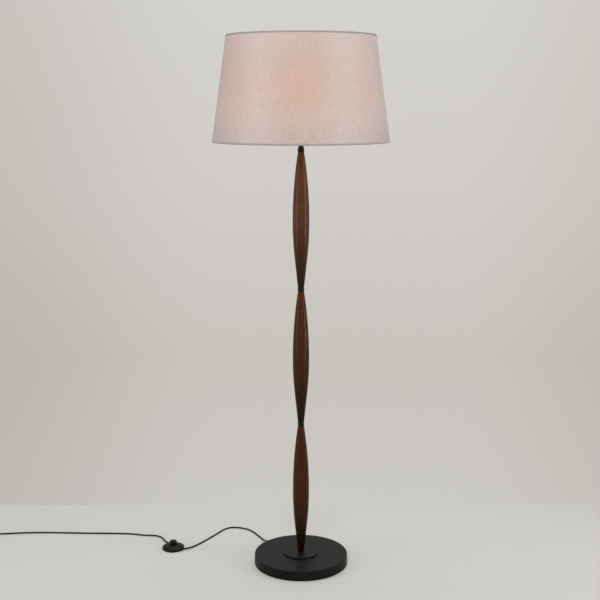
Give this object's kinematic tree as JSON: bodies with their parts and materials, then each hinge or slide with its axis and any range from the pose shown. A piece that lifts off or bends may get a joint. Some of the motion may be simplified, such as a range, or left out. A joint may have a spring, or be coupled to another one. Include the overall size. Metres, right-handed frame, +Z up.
{
  "type": "floor lamp",
  "caption": "Floor lamp with turned candlestick spindles, black rings, a round weighted base, a tapered linen drum shade and a foot switch on its flex.",
  "frame": {"origin": "centre of the base's underside, on the floor", "axes": "+Z up along the stem, -Y towards the front of the picture, the free flex lies towards -X"},
  "size_m": [1.3107, 0.52, 1.55],
  "materials": {
    "base_black": "satin black powder coat",
    "ring_black": "satin black",
    "iron": "plain casting",
    "zinc_steel": "zinc plated",
    "pad_foam": "felted foam",
    "wood_lower": "dark stain, satin varnish",
    "wood_middle": "dark stain, satin varnish",
    "wood_upper": "dark stain, satin varnish",
    "rubber_black": "moulded",
    "flex_black": "smooth sheath",
    "holder_black": "moulded",
    "insert_white": "pressed",
    "brass": "stamped",
    "copper_lead": "insulated core",
    "insulator_glass": "black glass",
    "cap_nickel": "nickel plated",
    "bulb_white": "moulded",
    "globe_opal": "opal",
    "shade_linen": "plain weave linen",
    "liner_white": "laminating film",
    "wire_white": "white dip coat",
    "trim_grey": "rolled tape",
    "switch_black": "moulded",
    "switch_nylon": "moulded",
    "tie_black": "moulded band",
    "plug_black": "moulded",
    "pin_brass": "turned"
  },
  "bodies": {
    "stand": {"base_cover": "base_black", "base_nut": "zinc_steel", "base_pad": "pad_foam", "base_plate": "zinc_steel", "base_washer": "zinc_steel", "base_weight": "iron", "centre_contact": "brass", "clamp_screws": "zinc_steel", "coil_tie": "tie_black", "flex_clamp": "zinc_steel", "flex_coil": "flex_black", "flex_gland": "rubber_black", "flex_to_coil": "flex_black", "flex_to_plug": "flex_black", "flex_to_switch": "flex_black", "holder_body": "holder_black", "holder_cap": "holder_black", "holder_insert": "insert_white", "holder_leads": "copper_lead", "holder_terminals": "brass", "neck_tube": "ring_black", "plate_screws": "zinc_steel", "plug_body": "plug_black", "plug_pins": "pin_brass", "ring_lower": "ring_black", "ring_top": "ring_black", "ring_upper": "ring_black", "side_contact": "brass", "spindle_lower": "wood_lower", "spindle_middle": "wood_middle", "spindle_upper": "wood_upper", "stem_flex": "flex_black", "step_plate": "base_black", "switch_base": "switch_black", "switch_contacts": "brass", "switch_cover": "switch_black", "switch_feet": "rubber_black", "switch_screws": "zinc_steel", "switch_spring": "zinc_steel", "switch_tails": "flex_black", "switch_terminals": "brass", "tube_lower": "zinc_steel", "tube_middle": "zinc_steel", "tube_upper": "zinc_steel"},
    "shade": {"shade_fabric": "shade_linen", "shade_liner": "liner_white", "shade_top_wire": "wire_white", "shade_frame": "wire_white", "shade_trim_top": "trim_grey", "shade_trim_bottom": "trim_grey", "lock_ring": "holder_black"},
    "bulb_lift": {"bulb_contact": "brass"},
    "bulb": {"bulb_insulator": "insulator_glass", "bulb_cap": "cap_nickel", "bulb_housing": "bulb_white", "bulb_globe": "globe_opal"},
    "button": {"switch_button": "switch_black"},
    "ratchet": {"switch_rotor": "switch_nylon"}
  },
  "joints": [
    {"name": "shade_turn", "type": "hinge", "parent": "stand", "child": "shade", "pos_m": [0, 0, 1.33], "axis": [0, 0, 1], "continuous": true},
    {"name": "bulb_rise", "type": "slide", "parent": "stand", "child": "bulb_lift", "axis": [0, 0, 1], "range_m": [0, 0.01815]},
    {"name": "bulb_turn", "type": "hinge", "parent": "bulb_lift", "child": "bulb", "pos_m": [0, 0, 1.35], "axis": [0, 0, 1], "range_deg": [0, 1800]},
    {"name": "switch_press", "type": "slide", "parent": "stand", "child": "button", "axis": [0, 0, -1], "range_m": [0, 0.0035], "stiffness_N_per_m": 1500, "springref_m": -0.001, "deforming": ["switch_spring"]},
    {"name": "ratchet_turn", "type": "hinge", "parent": "stand", "child": "ratchet", "pos_m": [-0.394, 0.1, 0.005], "axis": [0, 0, 1], "range_deg": [0, 45]}
  ],
  "couplings": [
    {"joint": "ratchet_turn", "follows": "switch_press", "rad_per_m": 224.3},
    {"joint": "bulb_rise", "follows": "bulb_turn", "m_per_rad": 0.00057754}
  ]
}
